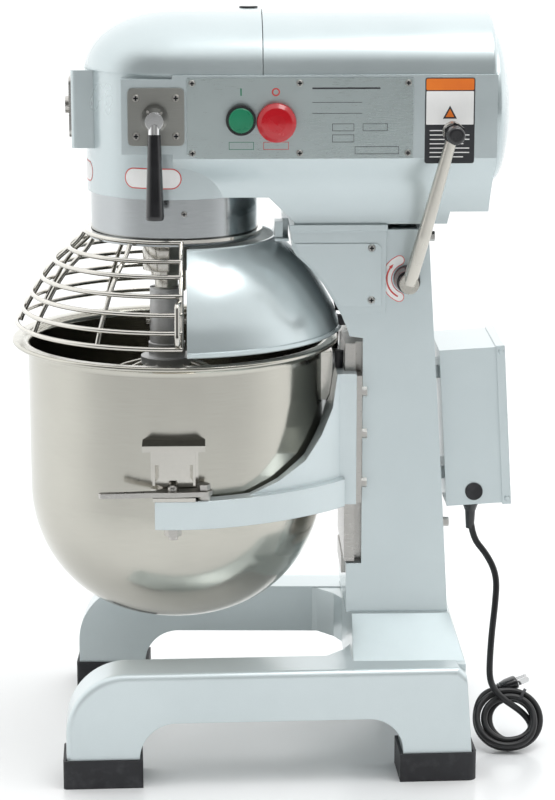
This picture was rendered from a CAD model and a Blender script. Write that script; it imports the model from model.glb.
"""Looks of the planetary stand mixer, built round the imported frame."""
import math

import bpy
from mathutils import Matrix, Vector


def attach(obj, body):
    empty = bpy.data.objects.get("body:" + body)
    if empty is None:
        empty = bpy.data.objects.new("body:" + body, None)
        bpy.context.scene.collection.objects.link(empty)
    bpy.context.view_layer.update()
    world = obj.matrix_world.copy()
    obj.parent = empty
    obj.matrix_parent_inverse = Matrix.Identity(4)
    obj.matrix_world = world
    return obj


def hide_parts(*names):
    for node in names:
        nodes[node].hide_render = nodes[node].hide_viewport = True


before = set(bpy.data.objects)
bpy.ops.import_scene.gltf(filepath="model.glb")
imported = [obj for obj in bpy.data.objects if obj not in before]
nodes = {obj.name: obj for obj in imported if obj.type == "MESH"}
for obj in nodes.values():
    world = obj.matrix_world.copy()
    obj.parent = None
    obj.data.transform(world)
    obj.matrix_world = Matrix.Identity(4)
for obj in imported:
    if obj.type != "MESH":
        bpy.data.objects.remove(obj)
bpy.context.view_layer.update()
MM = 0.001
BOWL_X = -0.090
LIFT_X, LIFT_Z = 148.7, 509.0          # lift shaft, in millimetres


# ---------------------------------------------------------------- material helpers
class Graph:
    """Small helper that wires a Principled material."""

    def __init__(self, name):
        self.material = bpy.data.materials.new(name)
        self.material.use_nodes = True
        self.tree = self.material.node_tree
        self.shader = self.tree.nodes["Principled BSDF"]
        self.coords = self.tree.nodes.new("ShaderNodeTexCoord").outputs["Object"]

    def node(self, kind, **settings):
        made = self.tree.nodes.new(kind)
        for key, value in settings.items():
            setattr(made, key, value)
        return made

    def link(self, source, target):
        self.tree.links.new(source, target)

    def stretched(self, scale):
        mapping = self.node("ShaderNodeMapping")
        mapping.inputs["Scale"].default_value = scale
        self.link(self.coords, mapping.inputs["Vector"])
        return mapping.outputs["Vector"]

    def around(self, axis_x, across, along):
        """Coordinates that run round a vertical axis: angle, height."""
        split = self.node("ShaderNodeSeparateXYZ")
        self.link(self.coords, split.inputs[0])
        shift = self.math("SUBTRACT", split.outputs["X"], axis_x)
        angle = self.math("ARCTAN2", split.outputs["Y"], shift)
        joined = self.node("ShaderNodeCombineXYZ")
        self.link(self.math("MULTIPLY", angle, across), joined.inputs["X"])
        self.link(self.math("MULTIPLY", split.outputs["Z"], along), joined.inputs["Z"])
        return joined.outputs[0]

    def math(self, operation, a, b, clamp=False):
        made = self.node("ShaderNodeMath", operation=operation, use_clamp=clamp)
        for socket, value in zip(made.inputs, (a, b)):
            if isinstance(value, (int, float)):
                socket.default_value = value
            else:
                self.link(value, socket)
        return made.outputs[0]

    def noise(self, vector, scale, detail=3.0, roughness=0.55):
        made = self.node("ShaderNodeTexNoise")
        made.inputs["Scale"].default_value = scale
        made.inputs["Detail"].default_value = detail
        made.inputs["Roughness"].default_value = roughness
        self.link(vector, made.inputs["Vector"])
        return made.outputs["Fac"]

    def spread(self, value, low, high, start=0.3, stop=0.7):
        made = self.node("ShaderNodeMapRange")
        made.inputs["From Min"].default_value = start
        made.inputs["From Max"].default_value = stop
        made.inputs["To Min"].default_value = low
        made.inputs["To Max"].default_value = high
        self.link(value, made.inputs["Value"])
        return made.outputs["Result"]

    def blend(self, factor, first, second):
        made = self.node("ShaderNodeMix", data_type="RGBA")
        self.link(factor, made.inputs["Factor"])
        for socket, value in ((made.inputs[6], first), (made.inputs[7], second)):
            if isinstance(value, tuple):
                socket.default_value = (*value, 1.0)
            else:
                self.link(value, socket)
        return made.outputs[2]

    def bump(self, height, distance, strength=1.0, under=None):
        made = self.node("ShaderNodeBump")
        made.inputs["Distance"].default_value = distance
        made.inputs["Strength"].default_value = strength
        self.link(height, made.inputs["Height"])
        if under is not None:
            self.link(under, made.inputs["Normal"])
        return made.outputs["Normal"]

    def soft_edges(self, radius):
        made = self.node("ShaderNodeBevel", samples=4)
        made.inputs["Radius"].default_value = radius
        return made.outputs["Normal"]

    def set(self, **values):
        for key, value in values.items():
            socket = self.shader.inputs[key.replace("_", " ")]
            if isinstance(value, bpy.types.NodeSocket):
                self.link(value, socket)
            elif isinstance(value, tuple) and len(value) == 3:
                socket.default_value = (*value, 1.0)
            else:
                socket.default_value = value


def enamel(name, light, dark, rough=0.24, metal=0.55, edge=0.9, peel=0.00005):
    """Metallic enamel: fine flake, faint cloudiness, orange peel, thin clear coat."""
    g = Graph(name)
    cloud = g.noise(g.coords, 9.0, 4.0)
    flake = g.noise(g.coords, 1300.0, 1.0)
    tone = g.blend(g.spread(cloud, 0.0, 1.0, 0.2, 0.8), dark, light)
    tone = g.blend(g.spread(flake, 0.0, 0.05, 0.40, 0.75), tone, (0.93, 0.95, 0.97))
    skin = g.noise(g.coords, 210.0, 2.0)
    normal = g.bump(skin, peel, 0.55, g.soft_edges(edge * MM))
    g.set(Base_Color=tone, Metallic=metal, Roughness=g.spread(cloud, rough - 0.03, rough + 0.05, 0.2, 0.8),
          Normal=normal, Coat_Weight=0.45, Coat_Roughness=0.12)
    return g.material


def metal(name, light, dark, rough=(0.2, 0.34), stretch=(1.0, 1.0, 1.0), scale=90.0, groove=0.00002,
          edge=0.4, around=None, metallic=1.0, stain=7.0, streak=0.30):
    """Bare metal with brushing or machining marks and cloudy roughness."""
    g = Graph(name)
    lines_at = g.around(*around) if around else g.stretched(stretch)
    lines = g.noise(lines_at, scale, 3.0, 0.6)
    cloud = g.noise(g.coords, stain, 4.0)
    tone = g.blend(g.spread(cloud, 0.0, 1.0), dark, light)
    tone = g.blend(g.spread(lines, 0.0, streak), tone, tuple(0.78 * c for c in light))
    mixed = g.math("ADD", g.spread(lines, rough[0], rough[1]), g.spread(cloud, -0.03, 0.05))
    normal = g.bump(lines, groove, 0.6, g.soft_edges(edge * MM))
    g.set(Base_Color=tone, Metallic=metallic, Roughness=mixed, Normal=normal)
    return g.material


def polymer(name, light, dark, rough=0.42, grain=900.0, depth=0.00004, coat=0.0, edge=0.5, dust=None):
    """Moulded plastic or rubber with a fine texture and a little dust in its colour."""
    g = Graph(name)
    cloud = g.noise(g.coords, 26.0, 4.0)
    fine = g.noise(g.coords, grain, 2.0)
    tone = g.blend(g.spread(cloud, 0.0, 1.0), dark, light)
    if dust:
        tone = g.blend(g.spread(g.noise(g.coords, 75.0, 5.0), 0.0, 0.35, 0.52, 0.75), tone, dust)
    g.set(Base_Color=tone, Roughness=g.spread(cloud, rough - 0.06, rough + 0.08),
          Normal=g.bump(fine, depth, 0.5, g.soft_edges(edge * MM)), Coat_Weight=coat)
    return g.material


PAINT = enamel("silver_blue_enamel", (0.60, 0.675, 0.69), (0.54, 0.61, 0.625))
CAST = enamel("enamel_on_casting", (0.64, 0.715, 0.73), (0.56, 0.63, 0.645), 0.30, 0.40, 1.6, 0.00010)
PANEL = metal("panel_film", (0.56, 0.63, 0.63), (0.50, 0.57, 0.57), (0.24, 0.32), (1.0, 1.0, 40.0), 60.0,
              0.000002, 0.2, None, 0.8, 7.0, 0.10)
STEEL = metal("machined_steel", (0.62, 0.60, 0.57), (0.50, 0.49, 0.47), (0.24, 0.40), (1.0, 1.0, 6.0), 160.0)
PLATE = metal("brushed_plate", (0.44, 0.44, 0.41), (0.36, 0.36, 0.34), (0.28, 0.42), (1.0, 1.0, 26.0), 60.0,
              0.00002, 0.6)
STAINLESS = metal("brushed_stainless_bowl", (0.58, 0.567, 0.51), (0.515, 0.50, 0.45), (0.13, 0.20),
                  groove=0.000004, scale=1.0, around=(BOWL_X, 5.0, 1400.0))
POLISHED = metal("polished_stainless", (0.70, 0.68, 0.63), (0.58, 0.56, 0.52), (0.07, 0.15), (1.0, 1.0, 1.0),
                 300.0, 0.000004)
COLLAR = metal("turned_collar", (0.52, 0.545, 0.555), (0.46, 0.48, 0.49), (0.12, 0.20), groove=0.000008,
               scale=1.0, around=(BOWL_X, 4.0, 900.0))
GEAR = metal("oiled_gear_steel", (0.38, 0.36, 0.33), (0.24, 0.23, 0.21), (0.22, 0.42), (1.0, 1.0, 1.0), 220.0)
CHROME = metal("chrome_plate", (0.80, 0.80, 0.80), (0.72, 0.72, 0.72), (0.05, 0.12), (1.0, 1.0, 1.0), 200.0,
               0.000002, 0.6)
FORGED = metal("plated_lever", (0.66, 0.64, 0.58), (0.58, 0.56, 0.51), (0.24, 0.32), (1.0, 1.0, 0.2), 60.0,
               0.000006, 0.9)
ALLOY = metal("cast_alloy", (0.60, 0.60, 0.60), (0.50, 0.50, 0.50), (0.30, 0.45), (1.0, 1.0, 1.0), 420.0,
              0.00005, 0.8, None, 0.9)
IRON = polymer("primed_iron", (0.22, 0.23, 0.24), (0.15, 0.16, 0.17), 0.55, 500.0, 0.0001)
RUBBER = polymer("black_rubber", (0.022, 0.023, 0.026), (0.010, 0.010, 0.012), 0.55, 800.0, 0.00008, 0.0, 0.9,
                 (0.07, 0.07, 0.075))
SHEATH = polymer("cord_sheath", (0.020, 0.020, 0.021), (0.010, 0.010, 0.011), 0.36, 1400.0, 0.00002)
BLACK = polymer("black_plastic", (0.020, 0.020, 0.022), (0.009, 0.009, 0.010), 0.24, 1200.0, 0.00001, 0.3)
GREEN = polymer("green_plastic", (0.006, 0.20, 0.095), (0.004, 0.15, 0.07), 0.26, 1200.0, 0.00001, 0.4)
RED = polymer("red_plastic", (0.50, 0.009, 0.018), (0.40, 0.006, 0.012), 0.24, 1200.0, 0.00001, 0.5)
INK_RED = polymer("label_red", (0.60, 0.06, 0.05), (0.52, 0.04, 0.04), 0.40)
INK_ORANGE = polymer("label_orange", (0.80, 0.20, 0.02), (0.72, 0.16, 0.02), 0.40)
INK_DARK = polymer("label_dark", (0.030, 0.032, 0.036), (0.020, 0.021, 0.024), 0.42)
INK_GREEN = polymer("label_green", (0.02, 0.22, 0.12), (0.015, 0.18, 0.09), 0.42)
VINYL = polymer("label_vinyl", (0.86, 0.86, 0.85), (0.78, 0.78, 0.77), 0.34)
TIE = polymer("tie_strip", (0.05, 0.05, 0.055), (0.03, 0.03, 0.034), 0.5)

LOOKS = {
    PAINT: ["column_housing", "neck_cover_plates", "head_housing", "front_top_cover", "rear_motor_cover",
            "rear_end_cap", "hub_block", "guard_dome", "guard_bracket", "control_box", "box_cover"],
    CAST: ["base_frame", "bowl_yoke"],
    PANEL: ["control_panel"],
    STEEL: ["slideway", "slideway_stop", "hub_cover", "machine_screws", "yoke_hardware", "clamp_lever_near",
            "clamp_lever_far"],
    PLATE: ["speed_plate"],
    STAINLESS: ["bowl"],
    POLISHED: ["planet_carrier", "agitator_shaft", "whisk_wires", "wire_guard", "bowl_brackets"],
    COLLAR: ["collar_ring"],
    GEAR: ["ring_gear", "shaft_bearings", "drive_shaft", "crown_gear", "planet_gear", "lay_shaft",
           "sliding_gear", "counter_shaft", "motor_rotor", "shift_rail", "lift_rack"],
    CHROME: ["speed_spindle"],
    FORGED: ["lift_arm"],
    ALLOY: ["whisk_hub"],
    IRON: ["motor_stator"],
    RUBBER: ["rubber_feet", "guard_stops", "saddle_buffers", "box_grommet"],
    BLACK: ["filler_cap", "switch_blocks", "cable_gland", "mains_plug", "cooling_fan", "speed_grip",
            "lift_shaft", "lift_knob"],
    SHEATH: ["cord_tube", "cord_coil"],
    GREEN: ["start_button"],
    RED: ["stop_button"],
}
for look, members in LOOKS.items():
    for member in members:
        mesh = nodes[member].data
        mesh.materials.clear()
        mesh.materials.append(look)


# ---------------------------------------------------------------- mesh helpers
FILM = 0.1          # thickness of a printed film, in millimetres


def piece(name, points, faces, look, body, smooth=True):
    mesh = bpy.data.meshes.new(name)
    mesh.from_pydata([tuple(p) for p in points], [], faces)
    mesh.validate()
    mesh.update()
    mesh.materials.append(look)
    for polygon in mesh.polygons:
        polygon.use_smooth = smooth
    made = bpy.data.objects.new(name, mesh)
    bpy.context.scene.collection.objects.link(made)
    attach(made, body)
    return made


def bands(rings, count):
    """Faces between neighbouring rings of points."""
    faces = []
    for i in range(rings - 1):
        for j in range(count):
            k = (j + 1) % count
            faces.append((i * count + j, i * count + k, (i + 1) * count + k, (i + 1) * count + j))
    return faces


def skin(name, rings, look, body, smooth=True):
    """Skin over rings of equal point count, capped at both ends."""
    count = len(rings[0])
    points = [p for ring in rings for p in ring]
    faces = bands(len(rings), count)
    faces.append(tuple(reversed(range(count))))
    faces.append(tuple(range((len(rings) - 1) * count, len(rings) * count)))
    return piece(name, points, faces, look, body, smooth)


def decal(name, outline, place, thick, look):
    """Thin sticker on the machine: a flat outline (u, v), set by place(u, v, lift)."""
    count = len(outline)
    middle_u = sum(u for u, _ in outline) / count
    middle_v = sum(v for _, v in outline) / count
    points = []
    for lift, shrink in ((0.0, 1.0), (thick, 1.0), (thick, 0.66), (thick, 0.33)):
        points += [place(middle_u + (u - middle_u) * shrink, middle_v + (v - middle_v) * shrink, lift)
                   for u, v in outline]
    points.append(place(middle_u, middle_v, thick))
    faces = bands(4, count)
    faces += [(3 * count + j, 3 * count + (j + 1) % count, 4 * count) for j in range(count)]
    return piece(name, points, faces, look, "machine", False)


def rounded(u0, u1, v0, v1, r, steps=5):
    """Rectangle with round corners."""
    corners = ((u1 - r, v1 - r, 0), (u0 + r, v1 - r, 90), (u0 + r, v0 + r, 180), (u1 - r, v0 + r, 270))
    outline = []
    for cu, cv, start in corners:
        for k in range(steps + 1):
            a = math.radians(start + 90 * k / steps)
            outline.append((cu + r * math.cos(a), cv + r * math.sin(a)))
    return outline


def circle(cu, cv, r, count):
    return [(cu + r * math.cos(2 * math.pi * k / count), cv + r * math.sin(2 * math.pi * k / count))
            for k in range(count)]


def flat_piece(name, outline, place, look):
    """Thin sticker whose outline may be hollow on one side."""
    points = [place(u, v, 0.0) for u, v in outline]
    return piece(name, points, [tuple(range(len(outline)))], look, "machine", False)


def on_side(y):
    """Places a sticker on a face that looks along -Y, at that Y in millimetres."""
    return lambda u, v, lift: Vector((u, y - lift, v)) * MM


def on_barrel(r):
    """Places a sticker on the head's round barrel; u is degrees from -Y towards -X."""
    def place(u, v, lift):
        a = math.radians(-90 - u)
        return Vector((BOWL_X / MM + (r + lift) * math.cos(a), (r + lift) * math.sin(a), v)) * MM
    return place


def frame_lines(name, u0, u1, v0, v1, line, y, look):
    """Four printed lines round a box."""
    for n, box in enumerate(((u0, u1, v0, v0 + line), (u0, u1, v1 - line, v1), (u0, u0 + line, v0, v1),
                             (u1 - line, u1, v0, v1))):
        decal(f"{name}_{n}", rounded(*box, line * 0.3, 2), on_side(y), FILM, look)


# ---------------------------------------------------------------- stickers
PANEL_Y, HEAD_Y, COLUMN_Y = -96.5, -95.0, -70.0      # the faces that carry them, in millimetres
NOTICE_Y = HEAD_Y - 0.15
RING_STEPS = 40
decal("mark_on", rounded(-21.9, -20.5, 699.5, 707.0, 0.5, 3), on_side(PANEL_Y), 0.12, INK_GREEN)
ring_outline = circle(13.6, 703.2, 4.1, RING_STEPS) + circle(13.6, 703.2, 2.7, RING_STEPS)
piece("mark_off", [on_side(PANEL_Y)(u, v, 0.12) for u, v in ring_outline], bands(2, RING_STEPS), INK_RED,
      "machine", False)
frame_lines("box_on", -33.5, -8.5, 645.6, 653.4, 0.55, PANEL_Y, INK_GREEN)
frame_lines("box_off", 1.0, 26.5, 645.6, 653.4, 0.55, PANEL_Y, INK_RED)
FIELDS = ((70, 92, 664.0, 671.5), (100.6, 125.5, 664.0, 671.5), (70, 92, 652.8, 660.5),
          (92.8, 137, 640.8, 648.5))
for n, field in enumerate(FIELDS):
    frame_lines(f"field_{n}", *field, 0.5, PANEL_Y, INK_DARK)
for n, (u0, u1, v, tall) in enumerate(((50, 118, 706.0, 1.6), (50, 100, 692.5, 0.5), (50, 100, 681.5, 0.5))):
    decal(f"rule_{n}", rounded(u0, u1, v, v + tall, 0.2, 2), on_side(PANEL_Y), FILM, INK_DARK)

decal("notice_back", rounded(163, 213, 631, 717, 2.5), on_side(HEAD_Y), 0.15, INK_DARK)
decal("notice_head", rounded(164, 212, 704.5, 716, 1.5), on_side(NOTICE_Y), FILM, INK_ORANGE)
decal("notice_field", rounded(164.2, 211.8, 670, 703.5, 0.8), on_side(NOTICE_Y), FILM, VINYL)
for n in range(7):
    wide = 40 if n % 3 else 34
    line = rounded(168, 168 + wide, 663.5 - 4.4 * n, 664.5 - 4.4 * n, 0.3, 2)
    decal(f"notice_rule_{n}", line, on_side(NOTICE_Y), FILM, VINYL)
decal("notice_sign", [(181, 676), (195, 676), (188, 689)], on_side(HEAD_Y - 0.25), FILM, INK_DARK)
decal("notice_sign_field", [(183.6, 677.6), (192.4, 677.6), (188, 685.8)], on_side(HEAD_Y - 0.35), FILM,
      INK_ORANGE)


def close_steps(outline, step=3.0):
    """The same outline with points close enough together to follow a curved face."""
    finer = []
    for (u0, v0), (u1, v1) in zip(outline, outline[1:] + outline[:1]):
        parts = max(1, round(math.hypot(u1 - u0, v1 - v0) / step))
        finer += [(u0 + (u1 - u0) * k / parts, v0 + (v1 - v0) * k / parts) for k in range(parts)]
    return finer


BARREL_R = 90.0


def pill(turn, z, half_long, half_tall, trim=0.0):
    """Rounded sticker outline in degrees round the barrel and millimetres up it."""
    per_mm = math.degrees(1 / BARREL_R)
    long, tall = half_long - trim, half_tall - trim
    outline = rounded(-long, long, -tall, tall, tall - 0.1, 9)
    return [(turn + u * per_mm, z + v) for u, v in close_steps(outline)]


for name, turn in (("sticker_near", 13.5), ("sticker_far", 86.0)):
    decal(name + "_edge", pill(turn, 615.5, 30, 10.5), on_barrel(BARREL_R), 0.15, INK_RED)
    decal(name + "_field", pill(turn, 615.5, 30, 10.5, 1.1), on_barrel(BARREL_R + 0.15), FILM, VINYL)


def arc_arrow(name, cu, cv, r0, r1, start, stop, y, look, head):
    """Curved arrow: an arc band that ends in a point."""
    def at(angle, r):
        a = math.radians(angle)
        return (cu + r * math.cos(a), cv + r * math.sin(a))

    angles = [start + (stop - start) * k / 12 for k in range(13)]
    middle, spread = (r0 + r1) / 2, (r1 - r0) * 1.15
    outline = [at(a, r1) for a in angles] + [at(a, r0) for a in angles]
    outline += [at(stop + head, middle), at(stop, middle + spread), at(stop, middle - spread)]
    points = [on_side(y)(u, v, 0.12) for u, v in outline]
    faces = [(k, k + 1, 14 + k, 13 + k) for k in range(12)] + [(27, 26, 28)]
    return piece(name, points, faces, look, "machine", False)


def crescent(half_wide, start, stop, radius=20.6):
    """Band that curves round the lift shaft, with round ends."""
    def at(a, r):
        return (LIFT_X + r * math.cos(math.radians(a)), LIFT_Z + r * math.sin(math.radians(a)))

    def round_end(a, first):
        u, v = at(a, radius)
        return [(u + half_wide * math.cos(math.radians(first + 180 * k / 8)),
                 v + half_wide * math.sin(math.radians(first + 180 * k / 8))) for k in range(1, 8)]

    outer = [at(start + (stop - start) * k / 14, radius + half_wide) for k in range(15)]
    inner = [at(stop + (start - stop) * k / 14, radius - half_wide) for k in range(15)]
    return outer + round_end(stop, stop) + inner + round_end(start, start + 180)


flat_piece("arrow_edge", crescent(5.2, 112, 248), on_side(COLUMN_Y - 0.12), INK_RED)
flat_piece("arrow_field", crescent(4.4, 112, 248), on_side(COLUMN_Y - 0.2), VINYL)
arc_arrow("arrow_sign", LIFT_X, LIFT_Z, 19.8, 21.4, 244, 146, COLUMN_Y - 0.2, INK_RED, -14.0)


# ---------------------------------------------------------------- screw recesses
def islands(mesh):
    """Groups of vertex numbers that hang together."""
    parent = list(range(len(mesh.vertices)))

    def root(k):
        while parent[k] != k:
            parent[k] = parent[parent[k]]
            k = parent[k]
        return k

    for edge in mesh.edges:
        a, b = root(edge.vertices[0]), root(edge.vertices[1])
        if a != b:
            parent[a] = b
    groups = {}
    for k in range(len(mesh.vertices)):
        groups.setdefault(root(k), []).append(k)
    return list(groups.values())


def cross_outline(x, z, reach, half):
    """Plus-shaped outline of a cross recess, in X and Z."""
    corner = [(reach, half), (half, half), (half, reach), (-half, reach), (-half, half), (-reach, half),
              (-reach, -half), (-half, -half), (-half, -reach), (half, -reach), (half, -half), (reach, -half)]
    return [(x + u, z + v) for u, v in corner]


def recess_faces():
    """Dark floors for the cross recesses of the pan heads that look along Y."""
    mesh = nodes["machine_screws"].data
    points, faces = [], []
    for group in islands(mesh):
        places = [mesh.vertices[k].co for k in group]
        low = Vector([min(p[i] for p in places) for i in range(3)])
        high = Vector([max(p[i] for p in places) for i in range(3)])
        middle, wide = (low + high) / 2, high.x - low.x
        if abs(wide - (high.z - low.z)) > 0.0005:      # not a round head that looks along Y
            continue
        side = -1 if middle.y < 0 else 1
        face_y = (low.y if side < 0 else high.y) + side * 0.00005
        start = len(points)
        points += [(u, face_y, v) for u, v in cross_outline(middle.x, middle.z, 0.30 * wide, 0.095 * wide)]
        faces.append(tuple(range(start, start + 12)))
    return points, faces


piece("screw_recesses", *recess_faces(), INK_DARK, "machine", False)


# ---------------------------------------------------------------- mains lead
ROUTE = [
    (0.2235, -0.020, 0.250), (0.224, -0.0205, 0.221), (0.243, -0.025, 0.199), (0.2525, -0.031, 0.177),
    (0.250, -0.040, 0.149), (0.246, -0.049, 0.121), (0.2435, -0.057, 0.095), (0.243, -0.0605, 0.072),
]
COIL_AT = Vector((0.2655, -0.071, 0.0304))
COIL_LEAN = math.radians(54)
COIL_U = Vector((1.0, 0.0, 0.0))
COIL_V = Vector((0.0, math.cos(COIL_LEAN), math.sin(COIL_LEAN)))
COIL_N = COIL_U.cross(COIL_V)
INNER_R, OUTER_R = 23.4, 31.0


def in_coil(u, v, n):
    """Point in the leaning plane of the coil, n in front of it, in millimetres."""
    return COIL_AT + (COIL_U * u + COIL_V * v + COIL_N * n) * MM


def ease(t):
    return t * t * (3 - 2 * t)


def fanned(angle, spread):
    """How far a turn leaves the bundle where nothing holds it, on the side towards the foot."""
    return spread * max(0.0, math.cos(math.radians(angle - 190))) ** 1.4


def coil_points():
    """Two inner turns from back to front, then an outer one that leads to the plug."""
    points = []
    for angle in [5 - 22.5 * k for k in range(1, 57)]:
        done = 5 - angle
        if done <= 720:
            r, n = INNER_R + fanned(angle, 5.5 if done > 360 else -1.0), -7.3 + 7.4 * done / 360
        elif done <= 810:
            part = (done - 720) / 90
            r, n = INNER_R + (OUTER_R - INNER_R) * ease(part), 7.5 + math.sin(math.pi * part)
        else:
            r, n = OUTER_R + fanned(angle, 5.5), 7.5 - 12.0 * (done - 810) / 455
        a = math.radians(angle)
        points.append(in_coil(1.03 * r * math.cos(a), r * math.sin(a), n))
    return points


lead_line = [Vector(p) for p in ROUTE]
lead_line += [in_coil(-17, 27, 15), in_coil(-8, 18, 13), in_coil(2.5, 12.5, 7), in_coil(12, 7.5, 0.5),
              in_coil(19.5, 1, -5)]
lead_line += coil_points()
lead_line += [in_coil(-36.0, 12, -5.5), in_coil(-31, 25, -6), in_coil(-21.5, 33.0, -6),
              in_coil(-12, 34.9, -5.6)]
lead_data = bpy.data.curves.new("mains_lead", "CURVE")
lead_data.dimensions = "3D"
lead_data.bevel_depth = 0.0035
lead_data.bevel_resolution = 5
lead_data.resolution_u = 6
lead_data.use_fill_caps = True
spline = lead_data.splines.new("NURBS")
spline.points.add(len(lead_line) - 1)
for point, place in zip(spline.points, lead_line):
    point.co = (*place, 1.0)
spline.order_u = 3
spline.use_endpoint_u = True
lead_data.materials.append(SHEATH)
lead = bpy.data.objects.new("mains_lead", lead_data)
bpy.context.scene.collection.objects.link(lead)
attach(lead, "machine")
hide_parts("cord_tube", "cord_coil")

# plug: moulded body that widens from its ribbed neck, with two flat blades
PLUG_FROM, PLUG_TO = in_coil(-13.5, 34.9, -5.6), Vector((0.2745, -0.0425, 0.0625))
plug_dir = (PLUG_TO - PLUG_FROM).normalized()
plug_side = plug_dir.cross(Vector((0, 0, 1))).normalized()
plug_up = plug_side.cross(plug_dir).normalized()
plug_long = (PLUG_TO - PLUG_FROM).length


def plug_ring(along, half_w, half_h, power=2.6, count=28):
    """Rounded-off cross-section of the plug."""
    ring = []
    for k in range(count):
        a = 2 * math.pi * k / count
        c, s = math.cos(a), math.sin(a)
        w = half_w * math.copysign(abs(c) ** (2 / power), c)
        h = half_h * math.copysign(abs(s) ** (2 / power), s)
        ring.append(PLUG_FROM + plug_dir * along + plug_side * w * MM + plug_up * h * MM)
    return ring


# share of the length, half width, half height: three ribs of the neck, then the body
PLUG_SHAPE = [(0.0, 4.0, 4.0), (0.02, 4.6, 4.6), (0.08, 4.8, 4.7), (0.085, 4.2, 4.2), (0.12, 4.2, 4.2),
              (0.125, 5.1, 4.9), (0.19, 5.3, 5.0), (0.195, 4.6, 4.4), (0.23, 4.6, 4.4), (0.235, 5.6, 5.2),
              (0.30, 5.9, 5.4), (0.42, 7.6, 6.0), (0.55, 8.6, 6.4), (0.90, 8.8, 6.6), (0.97, 8.5, 6.3),
              (1.0, 7.8, 5.6)]
plug = skin("plug_body", [plug_ring(plug_long * t, w, h) for t, w, h in PLUG_SHAPE], BLACK, "machine")
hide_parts("mains_plug")
for n, shift in enumerate((-4.4, 4.4)):
    rings = []
    for along, w, h in ((-1.0, 0.75, 3.1), (10.5, 0.75, 3.1), (12.6, 0.55, 2.4), (13.0, 0.3, 2.0)):
        centre = PLUG_TO + plug_dir * along * MM + plug_side * shift * MM
        rings.append([centre + plug_side * a * w * MM + plug_up * b * h * MM
                      for a, b in ((-1, -1), (1, -1), (1, 1), (-1, 1))])
    skin(f"plug_blade_{n}", rings, CHROME, "machine", False)

# tie round the bundle: a strip bent to a rounded rectangle
TIE_STEPS, TIE_OVAL = 32, 0.75
TIE_HALF, TIE_THICK = 0.0016, 0.0004
tie_at = math.radians(62)
tie_out = COIL_U * math.cos(tie_at) + COIL_V * math.sin(tie_at)
along = tie_out.cross(COIL_N)
tie_points = []
for k in range(TIE_STEPS):
    a = 2 * math.pi * k / TIE_STEPS
    c, s = math.cos(a), math.sin(a)
    ru = 8.0 * math.copysign(abs(c) ** TIE_OVAL, c)
    rn = 8.2 * math.copysign(abs(s) ** TIE_OVAL, s)
    centre = COIL_AT + tie_out * (27.6 + ru) * MM + COIL_N * (2.6 + rn) * MM
    outward = (tie_out * ru + COIL_N * rn).normalized()
    tie_points += [centre + outward * u * TIE_THICK + along * w * TIE_HALF
                   for u, w in ((1, 1), (1, -1), (-1, -1), (-1, 1))]
tie_faces = [(i * 4 + j, i * 4 + (j + 1) % 4, ((i + 1) % TIE_STEPS) * 4 + (j + 1) % 4,
              ((i + 1) % TIE_STEPS) * 4 + j) for i in range(TIE_STEPS) for j in range(4)]
tie = piece("coil_tie", tie_points, tie_faces, TIE, "machine", False)
tuple(lead_line[0])


# ---------------------------------------------------------------- stage, light, camera
def stage_mesh(name, points, faces, look):
    mesh = bpy.data.meshes.new(name)
    mesh.from_pydata(points, [], faces)
    mesh.materials.append(look)
    made = bpy.data.objects.new(name, mesh)
    bpy.context.scene.collection.objects.link(made)
    return made


g = Graph("studio_floor")
wear = g.noise(g.coords, 1.6, 3.0)
g.set(Base_Color=g.blend(g.spread(wear, 0.0, 1.0), (0.90, 0.91, 0.915), (0.93, 0.935, 0.94)),
      Roughness=g.spread(wear, 0.16, 0.24), Specular_IOR_Level=0.35)
floor = stage_mesh("floor", [(-9, -6, 0), (9, -6, 0), (9, 24, 0), (-9, 24, 0)], [(0, 1, 2, 3)], g.material)


def softbox(name, place, aim, size, power, seen=True):
    """Area light aimed at a point; one that is not seen casts no reflection."""
    data = bpy.data.lights.new(name, "AREA")
    data.shape = "RECTANGLE"
    data.size, data.size_y = size
    data.energy = power
    made = bpy.data.objects.new(name, data)
    made.location = place
    made.rotation_euler = (Vector(aim) - Vector(place)).to_track_quat("-Z", "Y").to_euler()
    made.visible_glossy = seen
    made.visible_camera = False
    bpy.context.scene.collection.objects.link(made)
    return made


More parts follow.
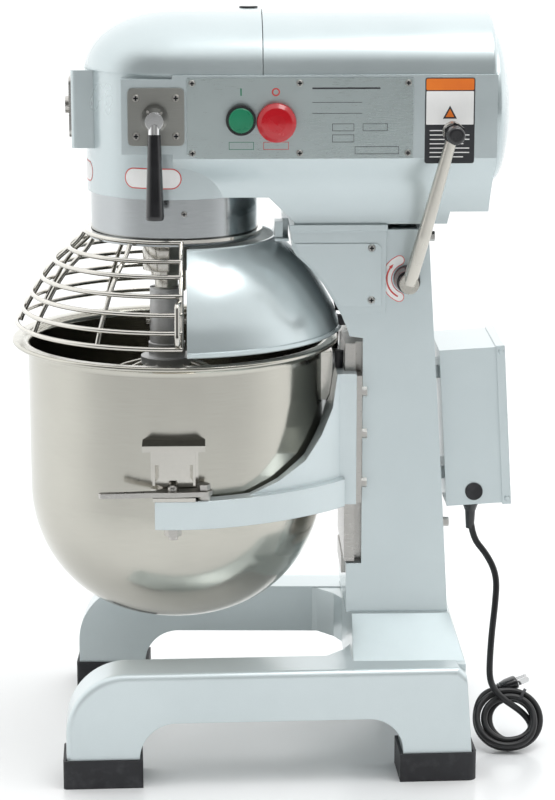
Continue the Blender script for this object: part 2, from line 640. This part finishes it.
softbox("key", (0.50, -0.30, 1.95), (-0.05, 0.05, 0.5), (0.7, 0.7), 8)
low = softbox("low", (-0.05, -1.2, 0.24), (0.02, 0.0, 0.06), (2.0, 0.22), 6.5, False)
not_lit = bpy.data.collections.new("not_lit_by_low")
not_lit.objects.link(floor)
not_lit.collection_objects[0].light_linking.link_state = "EXCLUDE"
low.light_linking.receiver_collection = not_lit

world = bpy.data.worlds.new("studio")
bpy.context.scene.world = world
world.use_nodes = True
tree = world.node_tree
background = tree.nodes["Background"]
split = tree.nodes.new("ShaderNodeSeparateXYZ")
tree.links.new(tree.nodes.new("ShaderNodeTexCoord").outputs["Generated"], split.inputs[0])


def sky_range(socket, start, stop):
    made = tree.nodes.new("ShaderNodeMapRange")
    made.interpolation_type = "SMOOTHSTEP"
    made.inputs["From Min"].default_value = start
    made.inputs["From Max"].default_value = stop
    tree.links.new(socket, made.inputs["Value"])
    return made.outputs["Result"]


# white tent, with its open side towards the front and brightest overhead
opening = tree.nodes.new("ShaderNodeMath")
opening.operation = "MULTIPLY"
tree.links.new(sky_range(split.outputs["Y"], 0.05, -0.70), opening.inputs[0])
tree.links.new(sky_range(split.outputs["Z"], 0.95, 0.55), opening.inputs[1])
tent = tree.nodes.new("ShaderNodeMix")
tent.data_type = "RGBA"
tent.inputs[6].default_value = (1.38, 1.39, 1.39, 1.0)
tent.inputs[7].default_value = (0.09, 0.092, 0.09, 1.0)
tree.links.new(opening.outputs[0], tent.inputs["Factor"])
# seen straight on, the tent is evenly white
plain = tree.nodes.new("ShaderNodeMix")
plain.data_type = "RGBA"
plain.inputs[7].default_value = (0.97, 0.975, 0.98, 1.0)
tree.links.new(tree.nodes.new("ShaderNodeLightPath").outputs["Is Camera Ray"], plain.inputs["Factor"])
tree.links.new(tent.outputs[2], plain.inputs[6])
tree.links.new(plain.outputs[2], background.inputs["Color"])
background.inputs["Strength"].default_value = 1.0
bpy.context.scene.view_settings.view_transform = "Standard"

camera_data = bpy.data.cameras.new("camera")
camera_data.lens = 112.5
camera_data.sensor_width = 36.0
camera = bpy.data.objects.new("camera", camera_data)
camera.location = (-0.0542, -2.5933, 0.9641)
camera.rotation_euler = Vector((0.02707, 0.97405, -0.22470)).to_track_quat("-Z", "Y").to_euler()
bpy.context.scene.collection.objects.link(camera)
bpy.context.scene.camera = camera
